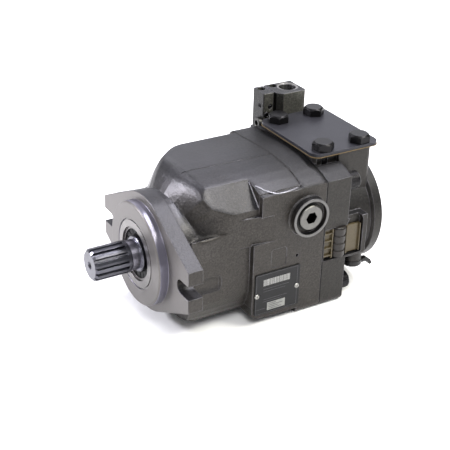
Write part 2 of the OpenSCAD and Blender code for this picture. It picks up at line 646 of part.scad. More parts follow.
module nameplate_rivets() color(zinc) for (x = rivet_x) difference() {
    union() {
        bar_y(-side_near - 1, -side_near + 5, 1.5, x, rivet_z, $fn = 32);
        translate([x, -side_near - 1, rivet_z]) rotate([90, 0, 0])
            cylinder(h = 1, r1 = 2.6, r2 = 1.9, $fn = 32);
    }
    bar_y(-side_near - 3, -side_near - 1, 0.9, x, rivet_z, $fn = 24);
}
outlet_floor_y = -side_near + 6;
module outlet_cover() color("#b9a878") {
    y0 = outlet_floor_y - 0.15;
    // left strip with rungs
    box([block_x0 + 1.6, y0 - 2.5, outlet_z - 18], [172, y0, outlet_z + 14]);
    for (z = [-15, -7, 1, 9])
        box([block_x0 + 1.6, y0 - 4.5, outlet_z + z - 0.7], [172, y0 - 2, outlet_z + z + 0.7]);
    box([171, y0 - 5, outlet_z - 18], [172.4, y0, outlet_z + 14]);
    // right panel between two walls
    box([188.6, y0 - 2.5, outlet_z - 18], [205.4, y0, outlet_z + 12]);
    box([188.6, y0 - 4.5, outlet_z - 18], [190, y0, outlet_z + 12]);
    box([204.2, y0 - 4.5, outlet_z - 18], [205.4, y0, outlet_z + 12]);
}
grip_x = 180.4;
module outlet_plug() color("#6b5a4c") {
    // ribbed grip in front of the recess floor
    difference() {
        translate([grip_x, outlet_floor_y - 2, outlet_z]) {
            translate([0, 0, -18]) cylinder(h = 32, r = 6.6);
            for (z = [0:8:24]) translate([0, 0, z - 16.5]) cylinder(h = 5.4, r = 7.4);
            translate([0, 0, 14]) cylinder(h = 0.9, r1 = 7.4, r2 = 6.6);
        }
        box([170, outlet_floor_y - 0.15, -60], [215, 0, 60]);
    }
    // hollow stopper in the outlet, and the stem that carries the grip
    difference() {
        union() {
            bar_y(outlet_floor_y + 0.05, -48, 12.9, outlet_x, outlet_z);
            bar_y(outlet_floor_y - 2, -55, 5, grip_x + 0.6, outlet_z);
        }
        bar_y(outlet_floor_y + 2, -40, 11, outlet_x, outlet_z);
    }
}
module drain_cap() color(black) translate([drain_at[0], drain_at[1], drain_z]) {
    translate([0, 0, -5]) cylinder(h = 5, r = 9.6);
    translate([0, 0, -6]) cylinder(h = 1 + eps, r1 = 8.8, r2 = 9.6);
    translate([0, 0, -1]) cylinder(h = 8, r = 4.9);
    // pull tab
    translate([0, -2.5, -4.5]) rotate([90, 0, 0]) translate([0, 0, -3]) linear_extrude(6)
        polygon([[2, 0], [11, 3.4], [15.5, 3], [19.5, 0], [22, -4.6],
            [19, -5.8], [16.4, -2], [13.6, -0.4], [9, -0.6], [2, -1.2]]);
}

// ---- control valve -----------------------------------------------------------

valve_x = [170.4, 218];
slim_x1 = 182.5;      // the slim part ends here
stout_x0 = 185.5;     // the stout part starts here
slim_y = [66, 87];
stout_y = [60, 90];
stout_chamfer = 5;
valve_base_z = valve_pad_z + 0.6;
spool_at = [71.5, 72.5];
valve_port_at = [206, 77];
valve_screw_at = [[176.5, 81], [193, 85]];
low_screw_at = [212.5, 85];
shelf_z = 52;         // underside of the shelf
screw_seat_z = 96;
cap_screw_z = 90;
module stout_outline() polygon([[stout_x0, stout_y[0] + stout_chamfer],
    [stout_x0 + stout_chamfer, stout_y[0]], [valve_x[1] - 1.5, stout_y[0]],
    [valve_x[1], stout_y[0] + 1.5], [valve_x[1], stout_y[1]], [stout_x0, stout_y[1]]]);
module valve_body() color("#4a484c") difference() {
    union() {
        translate([0, 0, valve_base_z]) linear_extrude(valve_z - valve_base_z)
            round_rect(valve_x[0], slim_y[0], slim_x1, slim_y[1], 1.6);
        translate([0, 0, valve_base_z]) linear_extrude(valve_port_z - 1 - valve_base_z)
            translate([slim_x1 - 2, slim_y[0] + 5])
                square([stout_x0 - slim_x1 + 4, slim_y[1] - slim_y[0] - 6]);
        translate([0, 0, valve_base_z]) linear_extrude(valve_port_z - valve_base_z) stout_outline();
        // foot joining the two parts
        box([valve_x[0] + 2, slim_y[0] + 0.5, valve_base_z], [stout_x0 + 2, slim_y[1] - 0.5, 80]);
    }
    translate([valve_port_at[0], valve_port_at[1], valve_port_z - 11]) cylinder(h = 20, r = valve_port_r);
    translate([valve_port_at[0], valve_port_at[1], valve_port_z - 0.8]) cylinder(h = 20, r = 11.2);
    bar_x(valve_x[0] - 1, valve_x[1] + 1, 4 + run, spool_at[0], spool_at[1]);
    bar_x(valve_x[0] - 1, valve_x[0] + 8, 5, spool_at[0], spool_at[1]);
    bar_x(205, valve_x[1] + 1, 6, spool_at[0], spool_at[1]);
    bar_y(slim_y[0] - 1, slim_y[0] + 8, 2.6, 178.5, cap_screw_z);
    bar_x(valve_x[0] - 1, valve_x[0] + 8, 2.6, 73.6, cap_screw_z);
    for (p = valve_screw_at) {
        translate([p[0], p[1], valve_base_z - 1]) cylinder(h = 60, r = 2.8);
        translate([p[0], p[1], screw_seat_z]) cylinder(h = 60, r = 4.5);
    }
    translate([low_screw_at[0], low_screw_at[1], valve_base_z - 1]) cylinder(h = 13, r = 2.5);
    bar_y(slim_y[0] - 1, slim_y[0] + 7, 3, 174.4, 82);
}
module valve_gasket() color(black) translate([0, 0, valve_pad_z]) linear_extrude(0.6) difference() {
    union() {
        round_rect(valve_x[0] + 1, slim_y[0] + 1, stout_x0 + 4, slim_y[1] - 1, 1.6);
        translate([stout_x0 + 1, stout_y[0] + 1])
            square([valve_x[1] - stout_x0 - 2, stout_y[1] - stout_y[0] - 2]);
    }
    for (p = concat(valve_screw_at, [low_screw_at])) translate(p) circle(2.8);
}
module valve_screws() color(black) {
    for (p = valve_screw_at) translate([p[0], p[1], screw_seat_z]) socket_screw(2.5, 44, 4.25, 5, 2.3);
    translate([low_screw_at[0], low_screw_at[1], shelf_z]) rotate([180, 0, 0])
        socket_screw(2.5, 20, 4.25, 5, 2.3);
    translate([178.5, slim_y[0] + 1, cap_screw_z]) rotate([90, 0, 0]) socket_screw(2.5, 4, 2.5, 1.5, 1.4);
    translate([valve_x[0] + 1, 73.6, cap_screw_z]) rotate([0, -90, 0]) socket_screw(2.5, 4, 2.5, 1.5, 1.4);
}
module valve_spool() color(steel) translate([0, spool_at[0], spool_at[1]]) turned()
    polygon([[0, 180], [3, 180], [3, 181], [4, 181], [4, 186], [2.2, 187], [2.2, 190],
        [4, 191], [4, 196], [2.2, 197], [2.2, 199], [4, 200], [4, 203], [0, 203]]);
module valve_spring() color(dark_steel) translate([0, spool_at[0], spool_at[1]])
    coil(206, 213, 4.2, 0.8, 4, 16);
module valve_adjuster() color(dark_steel) translate([0, spool_at[0], spool_at[1]]) difference() {
    turned() polygon([[0, 214], [5.95, 214], [5.95, 217.4], [4, 218], [4, 231], [3.2, 231.8], [0, 231.8]]);
    translate([227, 0, 0]) rotate([0, 90, 0]) cylinder(h = 6, r = 2.3, $fn = 6);
}
module adjuster_lock_nut() color(zinc) translate([valve_x[1] + 0.05, spool_at[0], spool_at[1]])
    rotate([0, 90, 0]) difference() {
        cylinder(h = 6, r = 13 / sqrt(3), $fn = 6);
        translate([0, 0, -1]) cylinder(h = 8, r = 4);
    }
module valve_side_plug() color(zinc) translate([valve_x[0], spool_at[0], spool_at[1]]) rotate([0, -90, 0])
    difference() {
        union() {
            translate([0, 0, -8]) cylinder(h = 8 + eps, r = 5);
            cylinder(h = 3.6, r = 5.8);
            translate([0, 0, 3.6]) cylinder(h = 0.8, r1 = 5.8, r2 = 5);
        }
        translate([0, 0, -2]) cylinder(h = 8, r = 3, $fn = 6);
    }
module valve_end_plug() color(black) socket_plug_y(174.4, slim_y[0], 82, 3.4, 1.2, 3, 6.5, 1.7);

housing();
body_gasket();
port_block();
block_screws();
rear_cover();
rear_cover_o_ring();
rear_cover_screws();
drive_shaft();
seal_carrier();
seal_carrier_o_ring();
shaft_seal();
seal_snap_ring();
front_bearing_outer_race();
front_bearing_rollers();
front_bearing_cage();
front_bearing_inner_race();
rear_bearing_outer_race();
rear_bearing_rollers();
rear_bearing_cage();
swashplate();
cradle_bearings();
barrel();
pistons();
slippers();
slipper_retainer();
ball_guide();
hold_down_spring();
spring_washers();
barrel_snap_ring();
valve_plate();
valve_plate_pin();
control_piston();
bias_piston();
bias_spring();
inlet_cover_plate();
inlet_gasket();
inlet_cover_bolts();
case_plug();
case_plug_seal();
nameplate();
nameplate_rivets();
valve_body();
valve_gasket();
valve_screws();
valve_spool();
valve_spring();
valve_adjuster();
adjuster_lock_nut();
valve_side_plug();
valve_end_plug();
outlet_cover();
outlet_plug();
drain_cap();
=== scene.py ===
import json
import math

import bmesh
import bpy
from mathutils import Matrix, Vector


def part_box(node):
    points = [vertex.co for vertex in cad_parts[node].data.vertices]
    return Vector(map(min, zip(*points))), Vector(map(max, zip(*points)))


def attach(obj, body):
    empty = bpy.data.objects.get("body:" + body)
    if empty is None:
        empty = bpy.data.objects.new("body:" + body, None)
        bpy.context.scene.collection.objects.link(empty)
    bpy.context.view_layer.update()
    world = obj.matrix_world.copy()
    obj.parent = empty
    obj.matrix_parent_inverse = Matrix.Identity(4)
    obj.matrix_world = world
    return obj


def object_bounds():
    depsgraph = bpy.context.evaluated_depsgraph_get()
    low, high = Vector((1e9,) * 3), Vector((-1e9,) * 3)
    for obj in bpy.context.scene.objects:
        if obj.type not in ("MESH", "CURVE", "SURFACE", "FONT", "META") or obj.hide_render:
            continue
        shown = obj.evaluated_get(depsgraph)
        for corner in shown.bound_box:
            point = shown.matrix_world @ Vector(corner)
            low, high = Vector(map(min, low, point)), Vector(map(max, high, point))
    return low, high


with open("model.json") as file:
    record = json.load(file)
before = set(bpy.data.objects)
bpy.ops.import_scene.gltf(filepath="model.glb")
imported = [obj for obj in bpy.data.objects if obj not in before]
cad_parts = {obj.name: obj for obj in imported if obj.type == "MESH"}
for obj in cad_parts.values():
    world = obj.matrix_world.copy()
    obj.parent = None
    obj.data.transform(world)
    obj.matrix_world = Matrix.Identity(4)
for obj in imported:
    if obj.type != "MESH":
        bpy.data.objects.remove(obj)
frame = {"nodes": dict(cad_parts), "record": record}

cad_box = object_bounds()
MM = 0.001
TAU = 2 * math.pi

# Places and sizes down to the floor are in millimetres and repeat what part.scad has. The floor,
# lights and camera are in metres. Colours are linear.


# ---- materials: a short way to write node trees -------------------------------

# a mix node has its own sockets for each kind of value: number of the first input, of the output
MIX_SOCKETS = {"FLOAT": (2, 0), "VECTOR": (4, 1), "RGBA": (6, 2)}


class Tree:
    """One procedural material around a Principled shader, in object coordinates (metres)."""

    def __init__(self, name):
        self.material = bpy.data.materials.new(name)
        self.material.use_nodes = True
        tree = self.material.node_tree
        self.nodes, self.links = tree.nodes, tree.links
        self.nodes.clear()
        output = self.nodes.new("ShaderNodeOutputMaterial")
        self.shader = self.nodes.new("ShaderNodeBsdfPrincipled")
        self.links.new(self.shader.outputs[0], output.inputs[0])
        self.coords = self.nodes.new("ShaderNodeTexCoord").outputs["Object"]
        geometry = self.nodes.new("ShaderNodeNewGeometry")
        self.normal = geometry.outputs["Normal"]
        self.x, self.y, self.z = self.split(self.coords)
        self.nx, _, self.nz = self.split(self.normal)

    def split(self, vector):
        node = self.nodes.new("ShaderNodeSeparateXYZ")
        self.links.new(vector, node.inputs[0])
        return node.outputs

    def plug(self, socket, value):
        """value is another node's output, a number or a colour."""
        if isinstance(value, bpy.types.NodeSocket):
            self.links.new(value, socket)
        else:
            socket.default_value = (*value, 1.0) if isinstance(value, tuple) else value

    def put(self, **inputs):
        """Sets the shader's sockets, by name with _ for a space."""
        for name, value in inputs.items():
            self.plug(self.shader.inputs[name.replace("_", " ")], value)

    def math(self, operation, a, b=0.0, clamp=False):
        node = self.nodes.new("ShaderNodeMath")
        node.operation, node.use_clamp = operation, clamp
        self.plug(node.inputs[0], a)
        self.plug(node.inputs[1], b)
        return node.outputs[0]

    def times(self, a, b):
        return self.math("MULTIPLY", a, b)

    def over(self, value, limit_mm):
        """1 where the value is above the limit, else 0."""
        return self.math("GREATER_THAN", value, limit_mm * MM)

    def under(self, value, limit_mm):
        return self.math("LESS_THAN", value, limit_mm * MM)

    def length(self, a, b):
        return self.math("SQRT", self.math("ADD", self.times(a, a), self.times(b, b)))

    def sine(self, value, pitch_mm):
        return self.math("SINE", self.times(value, TAU / (pitch_mm * MM)))

    def span(self, value, lo, hi, out_lo=0.0, out_hi=1.0):
        """value from lo to hi becomes out_lo to out_hi, clamped."""
        node = self.nodes.new("ShaderNodeMapRange")
        for i, v in enumerate((value, lo, hi, out_lo, out_hi)):
            self.plug(node.inputs[i], v)
        return node.outputs[0]

    def span_mm(self, value, lo, hi, out_lo=0.0, out_hi=1.0):
        return self.span(value, lo * MM, hi * MM, out_lo, out_hi)

    def window_mm(self, value, rise, fall):
        """0, then up to 1 over rise, and down to 0 again over fall."""
        return self.times(self.span_mm(value, *rise), self.span_mm(value, *fall, 1.0, 0.0))

    def stretched(self, scale):
        node = self.nodes.new("ShaderNodeMapping")
        self.links.new(self.coords, node.inputs["Vector"])
        node.inputs["Scale"].default_value = scale
        return node.outputs[0]

    def noise(self, size_mm, detail=2.0, roughness=0.5, distortion=0.0, coords=None):
        node = self.nodes.new("ShaderNodeTexNoise")
        self.links.new(coords or self.coords, node.inputs["Vector"])
        node.inputs["Scale"].default_value = 1 / (size_mm * MM)
        node.inputs["Detail"].default_value = detail
        node.inputs["Roughness"].default_value = roughness
        node.inputs["Distortion"].default_value = distortion
        return node.outputs[0]

    def rings(self, pitch_mm):
        """Turning marks round the X axis, not quite round."""
        wobble = self.times(self.noise(4, 1.0), 0.4 * MM)
        return self.sine(self.math("ADD", self.length(self.y, self.z), wobble), pitch_mm)

    def mixer(self, kind, share, a, b):
        first_input, output = MIX_SOCKETS[kind]
        node = self.nodes.new("ShaderNodeMix")
        node.data_type = kind
        for i, value in ((0, share), (first_input, a), (first_input + 1, b)):
            self.plug(node.inputs[i], value)
        return node.outputs[output]

    def mix(self, share, a, b):
        """For colours."""
        return self.mixer("RGBA", share, a, b)

    def blend(self, share, a, b):
        """For numbers."""
        return self.mixer("FLOAT", share, a, b)

    def mix_vectors(self, share, a, b):
        return self.mixer("VECTOR", share, a, b)

    def round_edges(self, radius_mm, samples=6):
        node = self.nodes.new("ShaderNodeBevel")
        node.samples = samples
        node.inputs["Radius"].default_value = radius_mm * MM
        return node.outputs[0]

    def edge_wear(self, rounded, gain):
        """High where the rounded normal leaves the surface's own: along edges."""
        dot = self.nodes.new("ShaderNodeVectorMath")
        dot.operation = "DOT_PRODUCT"
        self.links.new(rounded, dot.inputs[0])
        self.links.new(self.normal, dot.inputs[1])
        gap = self.math("SUBTRACT", 1.0, dot.outputs["Value"])
        return self.math("MULTIPLY", gap, gain, clamp=True)

    def bump(self, height, depth_mm, strength, normal):
        node = self.nodes.new("ShaderNodeBump")
        node.inputs["Strength"].default_value = strength
        node.inputs["Distance"].default_value = depth_mm * MM
        self.links.new(height, node.inputs["Height"])
        self.links.new(normal, node.inputs["Normal"])
        return node.outputs[0]


def scaled(colour, factor):
    return tuple(min(1.0, c * factor) for c in colour)


# ---- cast iron ----------------------------------------------------------------

JOINT_X = 160.3                                 # middle of the gasket between the castings
# colour of the lighter edges: rubbed wear and a painted edge highlight
EDGE_WEAR_AND_HIGHLIGHT = (0.21, 0.205, 0.23)
GRIME = (0.008, 0.007, 0.007)
SHADE = (0.002, 0.002, 0.002)
GLOSSY_ROUGHNESS = 0.31


def cast_iron(name, side, top, rough, machined, joint=True, soft=None, front_shade_tone=1.0):
    """Sand-cast iron under a thin phosphate skin: fine grain, soft undulation, lighter edges that are
    rubbed wear and a painted edge highlight.
    side and top are (dark, light) tones of the walls and of what faces up; the split by facing is
    painted light, the cool top tone standing for overhead light and the warm wall tone for brown light
    reflected from below.
    machined(t) yields (share, colour, roughness, marks) for surfaces that were cut.
    joint darkens both sides of the joint plane.
    soft(t) returns where the surface runs in broad sweeps and where it is glossy.
    Surfaces that face the flange keep only the given share of their tone; the rest is painted shade."""
    t = Tree(name)
    fine = t.noise(0.55, 3.0, 0.62)
    coarse = t.noise(1.8, 3.0, 0.6)
    cloud = t.noise(38, 3.0, 0.55)
    rounded = t.round_edges(1.5)
    worn = t.edge_wear(rounded, 5.0)
    if soft is not None:
        broad, glossy = soft(t)
        rounded = t.mix_vectors(broad, rounded, t.round_edges(7.0, 12))
        worn = t.times(worn, t.math("SUBTRACT", 1.0, broad))
    grain = t.math("ADD", t.times(fine, 0.4), t.times(coarse, 0.6))

    # tone by facing is painted light: cool where the surface faces up, warm brown on the walls
    painted_top_light = t.span(t.nz, 0.1, 0.75)
    # painted shade: the top tones darken towards the rear, where the port block shades the crown
    painted_rear_shade = t.span_mm(t.x, 75, 130)
    top = [t.mix(painted_rear_shade, tone, scaled(tone, 0.3)) for tone in top]
    dark = t.mix(painted_top_light, side[0], top[0])
    light = t.mix(painted_top_light, side[1], top[1])
    colour = t.mix(t.span(grain, 0.40, 0.62), dark, light)
    # painted shade on the faces turned to the flange
    if front_shade_tone < 1.0:
        painted_front_shade = t.span(t.nx, -0.3, -0.8, 0.0, 1.0 - front_shade_tone)
        colour = t.mix(painted_front_shade, colour, SHADE)
    colour = t.mix(t.span(cloud, 0.35, 0.75, 0.0, 0.35), colour, scaled(side[0], 0.55))
    speck = t.span(t.noise(1.3, 1.0, 0.5), 0.63, 0.74)
    colour = t.mix(t.times(speck, 0.28), colour, scaled(side[1], 2.2))
    # edges lightened by rubbed wear, made stronger as a painted edge highlight
    edge_rub_and_highlight = t.times(worn, t.span(t.noise(14, 2.0, 0.6), 0.36, 0.66, 0.10, 0.60))
    colour = t.mix(edge_rub_and_highlight, colour, EDGE_WEAR_AND_HIGHLIGHT)
    if joint:
        # oil and dust gather in the joint between the two castings
        beside = t.math("ABSOLUTE", t.math("SUBTRACT", t.x, JOINT_X * MM))
        colour = t.mix(t.span_mm(beside, 0.5, 1.1, 0.92, 0.0), colour, GRIME)

    roughness = t.span(grain, 0.3, 0.7, rough - 0.07, rough + 0.14)
    roughness = t.blend(edge_rub_and_highlight, roughness, rough - 0.12)
    if soft is not None:
        roughness = t.blend(glossy, roughness, GLOSSY_ROUGHNESS)
    normal = t.bump(coarse, 0.45, 0.6, rounded)
    normal = t.bump(fine, 0.16, 0.5, normal)
    for share, cut_colour, cut_rough, marks in machined(t):
        fresh = t.mix(t.span(marks, -1.0, 1.0, 0.0, 0.35), cut_colour, scaled(cut_colour, 0.72))
        colour = t.mix(share, colour, fresh)
        roughness = t.blend(share, roughness, cut_rough)
        normal = t.mix_vectors(share, normal, t.bump(marks, 0.02, 0.25, rounded))
    t.put(Base_Color=colour, Roughness=roughness, Metallic=0.6, Normal=normal,
          Coat_Weight=0.06, Coat_Roughness=0.30)
    return t.material


# each pair is where a zone fades in, or fades out
LEDGE_TOP_Z = (6, 16)
DOME_X, DOME_GLOSS_X = ((22, 30), (62, 70)), ((16, 20), (40, 48))
CROWN_Z, REAR_CROWN_Z = (58, 64), (67.0, 68.5)
CROWN_FROM_X, REAR_CROWN_FROM_X = 30, 110


def soft_zone(t):
    """The front of the dome above the ledge, and the crown all the way back."""
    above_ledge = t.span_mm(t.z, *LEDGE_TOP_Z)
    front = t.times(t.window_mm(t.x, *DOME_X), above_ledge)
    rear_top = t.times(t.over(t.x, REAR_CROWN_FROM_X), t.span_mm(t.z, *REAR_CROWN_Z))
    crown = t.math("MAXIMUM", t.span(t.nz, 0.75, 0.85), rear_top)
    crown = t.times(t.span_mm(t.z, *CROWN_Z), crown)
    crown = t.times(crown, t.over(t.x, CROWN_FROM_X))
    glossy = t.times(t.window_mm(t.x, *DOME_GLOSS_X), above_ledge)
    return t.math("MAXIMUM", front, crown), glossy


# just behind each cut face, so that the face itself is on the cut side
FLANGE_FACE_X, REAR_FACE_X = 0.05, 236.9
BOSS_FACE_Y, BOSS_FROM_X = -72.95, 100
PORT_AT, PORT_FACE_RADIUS, PORT_FACE_Z = (206.0, 77.0), 11.4, 103.0


def housing_cuts(t):
    """The flange face and its pilot are turned; the boss has a faced rim."""
    front = t.under(t.x, FLANGE_FACE_X)
    side_on = t.math("LESS_THAN", t.math("ABSOLUTE", t.nx), 0.6)
    yield front, (0.130, 0.122, 0.117), 0.46, t.rings(0.9)
    along = t.sine(t.x, 0.6)
    yield t.times(front, side_on), (0.165, 0.158, 0.20), 0.29, along
    rim = t.times(t.under(t.y, BOSS_FACE_Y), t.over(t.x, BOSS_FROM_X))
    yield rim, (0.115, 0.113, 0.110), 0.36, along


def block_cuts(t):
    """The port block's rear face is cut."""
    facing_rear = t.math("GREATER_THAN", t.nx, 0.7)
    yield t.times(t.over(t.x, REAR_FACE_X), facing_rear), (0.15, 0.146, 0.142), 0.42, t.rings(1.1)


def distance_from(t, a, b, place):
    """From the point with these two coordinates, which a and b run along."""
    return t.length(t.math("SUBTRACT", a, place[0] * MM), t.math("SUBTRACT", b, place[1] * MM))


def port_rim(t):
    """The spot face round the valve's top port."""
    away = distance_from(t, t.x, t.y, PORT_AT)
    share = t.times(t.under(away, PORT_FACE_RADIUS), t.over(t.z, PORT_FACE_Z))
    yield share, (0.20, 0.195, 0.19), 0.36, t.sine(away, 0.7)


# ---- machined metal and plastic -------------------------------------------------

def metal(name, colour, rough, edge_mm=0.3, turned=False, metallic=1.0, lift=1.5, smear_mm=9.0,
          patch=None):
    """Plain machined or plated metal: cloudy tone, faint scratches, softened bright edges.
    turned adds marks along x. patch(t) returns (share, colour) for a place with another tone."""
    t = Tree(name)
    rounded = t.round_edges(edge_mm, 4)
    worn = t.edge_wear(rounded, 6.0)
    cloud = t.noise(smear_mm, 3.0, 0.6)
    scratch = t.noise(0.5, 2.0, 0.6, 0.3, t.stretched((1.0, 9.0, 9.0)))
    tone = t.mix(t.span(cloud, 0.3, 0.7), scaled(colour, 0.78), colour)
    tone = t.mix(t.times(worn, 0.6), tone, scaled(colour, lift))
    if patch is not None:
        share, other = patch(t)
        tone = t.mix(share, tone, other)
    height = scratch
    if turned:
        height = t.math("ADD", scratch, t.times(t.sine(t.x, 0.5), 0.35))
    t.put(Base_Color=tone, Metallic=metallic, Normal=t.bump(height, 0.03, 0.3, rounded),
          Roughness=t.span(scratch, 0.3, 0.7, rough - 0.05, rough + 0.1))
    return t.material


def plastic(name, colour, rough, see_through=0.0):
    """Moulded plastic: faint flow clouds, fine spark-eroded texture, soft edges."""
    t = Tree(name)
    rounded = t.round_edges(0.35, 4)
    cloud = t.noise(6, 2.0, 0.5)
    skin = t.noise(0.35, 2.0, 0.5)
    worn = t.edge_wear(rounded, 5.0)
    tone = t.mix(t.span(cloud, 0.3, 0.7), scaled(colour, 0.8), colour)
    tone = t.mix(t.times(worn, 0.4), tone, tuple(min(1.0, c * 1.6 + 0.02) for c in colour))
    t.put(Base_Color=tone, Roughness=t.span(skin, 0.3, 0.7, rough - 0.06, rough + 0.08),
          Normal=t.bump(skin, 0.05, 0.35, rounded), Transmission_Weight=see_through, IOR=1.5,
          Specular_IOR_Level=0.32)
    return t.material


SEAL_TRACK_X = (-18.4, -9.6)
CASE_PLUG_AT, SOCKET_RADIUS = (139.0, 35.0), 7.5


def bright_journal(t):
    """The ground seal track behind the spline."""
    return t.times(t.over(t.x, SEAL_TRACK_X[0]), t.under(t.x, SEAL_TRACK_X[1])), (0.42, 0.41, 0.48)


def socket_painted_shade(t):
    """Painted shade: the bottom and walls of the case plug's hexagon socket are coloured near black."""
    inside = t.under(distance_from(t, t.x, t.z, CASE_PLUG_AT), SOCKET_RADIUS)
    deep = t.math("GREATER_THAN", t.y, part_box("case_plug")[0].y + 0.5 * MM)
    return t.times(inside, deep), (0.010, 0.010, 0.010)


# ---- every material, and which CAD node gets it ------------------------------------

# the walls' warm tones and the crown's cool tone are painted light: reflected brown light on the walls,
# overhead light on the crown
WALL = ((0.0190, 0.0165, 0.0142), (0.047, 0.0420, 0.0370))
REAR_WALL = ((0.0135, 0.0122, 0.0108), (0.034, 0.0310, 0.0275))
CROWN = ((0.0205, 0.0200, 0.0232), (0.046, 0.0452, 0.0512))
# painted light: the valve's walls are much lighter than its top, as lit faces
VALVE_WALL = ((0.046, 0.0455, 0.0385), (0.120, 0.1180, 0.1000))
VALVE_TOP = ((0.024, 0.0235, 0.0260), (0.055, 0.0545, 0.0590))
MATERIALS = {
    "casting": cast_iron("casting", WALL, CROWN, 0.42, housing_cuts, soft=soft_zone),
    "casting_rear": cast_iron("casting_rear", REAR_WALL, CROWN, 0.46, block_cuts),
    "valve_black": cast_iron("valve_black", VALVE_WALL, VALVE_TOP, 0.42, port_rim, joint=False,
                             front_shade_tone=0.06),
    "machined_iron": metal("machined_iron", (0.20, 0.192, 0.186), 0.34, turned=True),
    "shaft_steel": metal("shaft_steel", (0.105, 0.105, 0.122), 0.27, turned=True, lift=2.6,
                         patch=bright_journal),
    "bearing_steel": metal("bearing_steel", (0.42, 0.42, 0.44), 0.20, 0.25, turned=True),
    "spring_steel": metal("spring_steel", (0.16, 0.15, 0.15), 0.34, 0.2),
    "bronze": metal("bronze", (0.50, 0.34, 0.15), 0.33, turned=True),
    "zinc_plate": metal("zinc_plate", (0.34, 0.335, 0.315), 0.36),
    # light metal for the beads of painted edge highlight on the shoulder and the facet's corner
    "worn_and_highlit_edge": metal("worn_and_highlit_edge", (0.26, 0.255, 0.28), 0.34, metallic=0.8),
    "zinc_dull": metal("zinc_dull", (0.070, 0.069, 0.066), 0.45),
    "zinc_with_socket_shade": metal("zinc_with_socket_shade", (0.155, 0.153, 0.145), 0.40, patch=socket_painted_shade),
    "black_oxide": metal("black_oxide", (0.0115, 0.0110, 0.0120), 0.33, 0.35, metallic=0.8, lift=5.0),
    "cover_paint": metal("cover_paint", (0.028, 0.028, 0.0345), 0.42, 0.5, metallic=0.6, lift=2.2,
                         smear_mm=22.0),
    "plate_black": metal("plate_black", (0.0085, 0.0085, 0.0095), 0.40, metallic=0.5, lift=4.0),
    "rubber": plastic("rubber", (0.012, 0.012, 0.012), 0.62),
    "gasket_black": plastic("gasket_black", (0.008, 0.008, 0.008), 0.75),
    "gasket_tan": plastic("gasket_tan", (0.125, 0.088, 0.042), 0.66),
    "amber_plastic": plastic("amber_plastic", (0.078, 0.060, 0.030), 0.30, 0.12),
    "brown_plastic": plastic("brown_plastic", (0.0200, 0.0165, 0.0140), 0.33),
    "black_plastic": plastic("black_plastic", (0.0055, 0.0055, 0.0058), 0.40),
}
record_slots = {part["node"]: part["material_slot"] for part in frame["record"]["subparts"]}
# nodes whose finish differs from the others in their slot
OWN_FINISH = {"port_block": "casting_rear", "rear_cover": "casting_rear",
              "case_plug": "zinc_with_socket_shade", "valve_side_plug": "zinc_dull"}

for node_name, node in frame["nodes"].items():
    material = MATERIALS[OWN_FINISH.get(node_name, record_slots[node_name])]
    if not node.material_slots:
        node.data.materials.append(material)
    for material_slot in node.material_slots:
        material_slot.material = material


# ---- pieces: mesh helpers -----------------------------------------------------

def add_object(name, data):
    obj = bpy.data.objects.new(name, data)
    bpy.context.scene.collection.objects.link(obj)
    return obj


def mesh_from(name, bm, material):
    mesh = bpy.data.meshes.new(name)
    bm.to_mesh(mesh)
    bm.free()
    mesh.materials.append(material)
    return mesh


def piece(name, bm, body, material, smooth=False):
    """Turns a bmesh in millimetres into a piece that rides on a CAD body."""
    bmesh.ops.scale(bm, vec=(MM, MM, MM), verts=bm.verts)
    bmesh.ops.recalc_face_normals(bm, faces=bm.faces)
    mesh = mesh_from(name, bm, material)
    for face in mesh.polygons:
        face.use_smooth = smooth
    obj = add_object(name, mesh)
    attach(obj, body)


def tube(bm, points, radius, sides):
    """A bead of round section along a line of points."""
    points = [Vector(p) for p in points]
    rings = []
    for i, p in enumerate(points):
        along = (points[min(i + 1, len(points) - 1)] - points[max(i - 1, 0)]).normalized()
        if rings:
            side = (side - along * side.dot(along)).normalized()
        else:
            side = along.orthogonal().normalized()
        up = along.cross(side)
        angles = [TAU * k / sides for k in range(sides)]
        rings.append([bm.verts.new(p + radius * (side * math.cos(a) + up * math.sin(a)))
                      for a in angles])
    for a, b in zip(rings, rings[1:]):
        for k in range(sides):
            bm.faces.new((a[k], a[(k + 1) % sides], b[(k + 1) % sides], b[k]))
    bm.faces.new(rings[0])
    bm.faces.new(list(reversed(rings[-1])))


def box_mm(node_name):
    lo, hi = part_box(node_name)
    return lo / MM, hi / MM


# ---- nameplate print: a striped field, a pale label and lines; no lettering -----

OUTWARD = Vector((0, -1, 0))
plate_corner = box_mm("nameplate")[0]
label_white = plastic("label_white", (0.33, 0.33, 0.32), 0.5)
label_grey = plastic("label_grey", (0.24, 0.245, 0.23), 0.55)
line_grey = metal("line_grey", (0.055, 0.055, 0.06), 0.45, 0.1, metallic=0.4)


def printed(bm, x0, z0, x1, z1, thickness, inset=0.05):
    """A raised rectangle on the plate, in millimetres from its lower left corner. Its outer edge
    is eased by a second, smaller ring."""
    left, y, low = plate_corner
    corners = [Vector((left + x, y, low + z)) for x, z in ((x0, z0), (x1, z0), (x1, z1), (x0, z1))]
    middle = sum(corners, Vector()) / len(corners)
    shoulder = [c + OUTWARD * (thickness * 0.6) for c in corners]
    face = [c + (middle - c).normalized() * inset + OUTWARD * thickness for c in corners]
    rows = [[bm.verts.new(c) for c in ring] for ring in (corners, shoulder, face)]
    for lower, upper in zip(rows, rows[1:]):
        for i in range(4):
            bm.faces.new((lower[i], lower[(i + 1) % 4], upper[(i + 1) % 4], upper[i]))
    bm.faces.new(rows[0])
    bm.faces.new(rows[-1])


